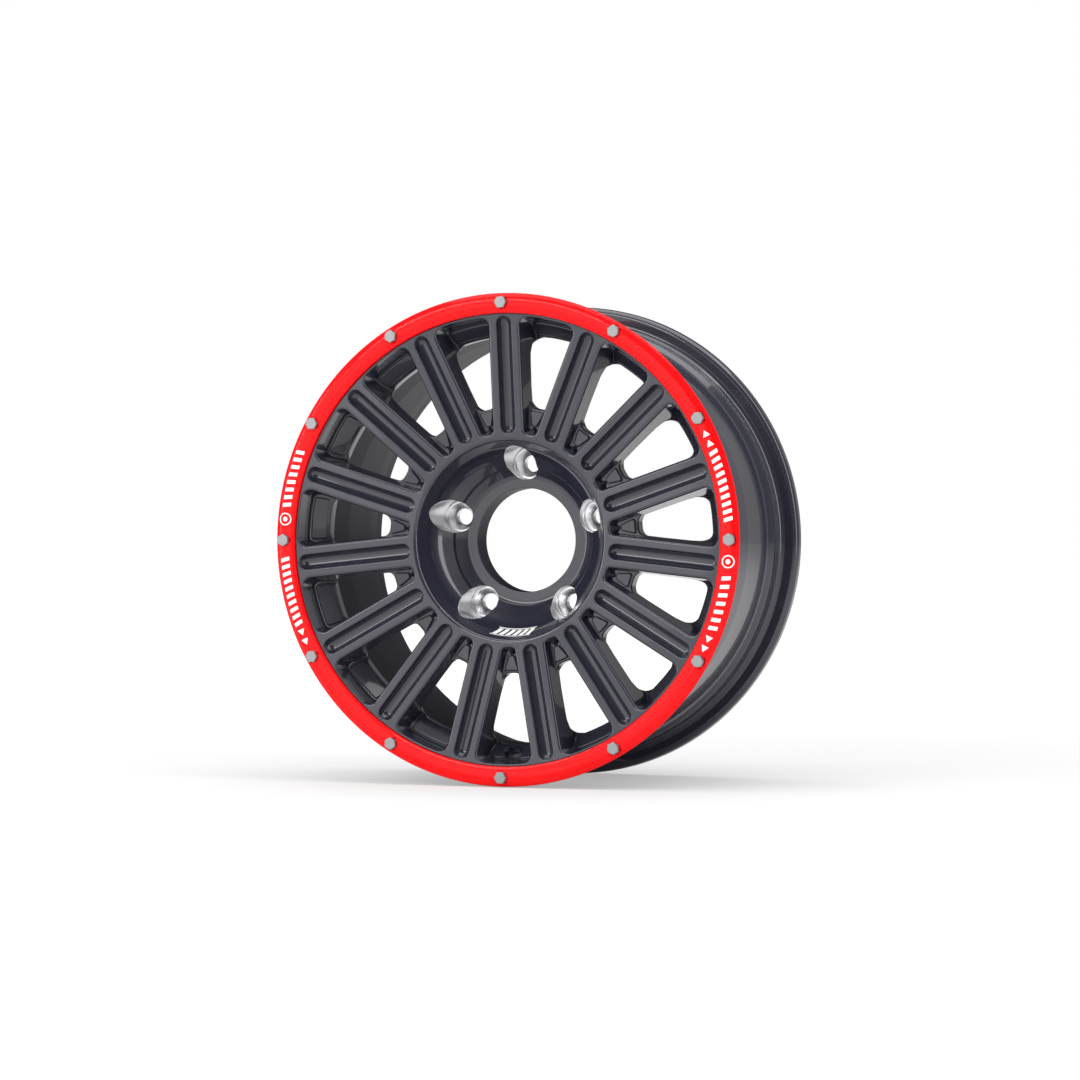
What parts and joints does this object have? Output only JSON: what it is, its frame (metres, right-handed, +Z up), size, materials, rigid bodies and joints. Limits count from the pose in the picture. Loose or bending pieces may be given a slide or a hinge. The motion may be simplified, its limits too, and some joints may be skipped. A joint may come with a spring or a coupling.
{
  "type": "vehicle wheel",
  "caption": "Cast alloy off-road wheel with straight grooved spokes and a screwed-on red outer ring over the front flange.",
  "frame": {"origin": "on the wheel's axis, in the plane of the hub's mounting face", "axes": "Y is the wheel's axis: -Y points out to the wheel's visible face and +Y to the vehicle; +Z is up with the valve hole at the bottom, and +X is to the right as seen from the visible face"},
  "size_m": [0.4407, 0.2074, 0.4408],
  "materials": {
    "wheel_paint": "cast aluminium, gloss anthracite paint under clear coat",
    "ring_enamel": "aluminium, gloss red paint",
    "bolt_zinc": "zinc-plated steel",
    "insert_steel": "plain steel"
  },
  "bodies": {
    "root": {"wheel_casting": "wheel_paint", "outer_ring": "ring_enamel", "ring_bolt_01": "bolt_zinc", "ring_bolt_02": "bolt_zinc", "ring_bolt_03": "bolt_zinc", "ring_bolt_04": "bolt_zinc", "ring_bolt_05": "bolt_zinc", "ring_bolt_06": "bolt_zinc", "ring_bolt_07": "bolt_zinc", "ring_bolt_08": "bolt_zinc", "ring_bolt_09": "bolt_zinc", "ring_bolt_10": "bolt_zinc", "ring_bolt_11": "bolt_zinc", "ring_bolt_12": "bolt_zinc", "thread_insert_01": "insert_steel", "thread_insert_02": "insert_steel", "thread_insert_03": "insert_steel", "thread_insert_04": "insert_steel", "thread_insert_05": "insert_steel", "thread_insert_06": "insert_steel", "thread_insert_07": "insert_steel", "thread_insert_08": "insert_steel", "thread_insert_09": "insert_steel", "thread_insert_10": "insert_steel", "thread_insert_11": "insert_steel", "thread_insert_12": "insert_steel"}
  },
  "joints": []
}
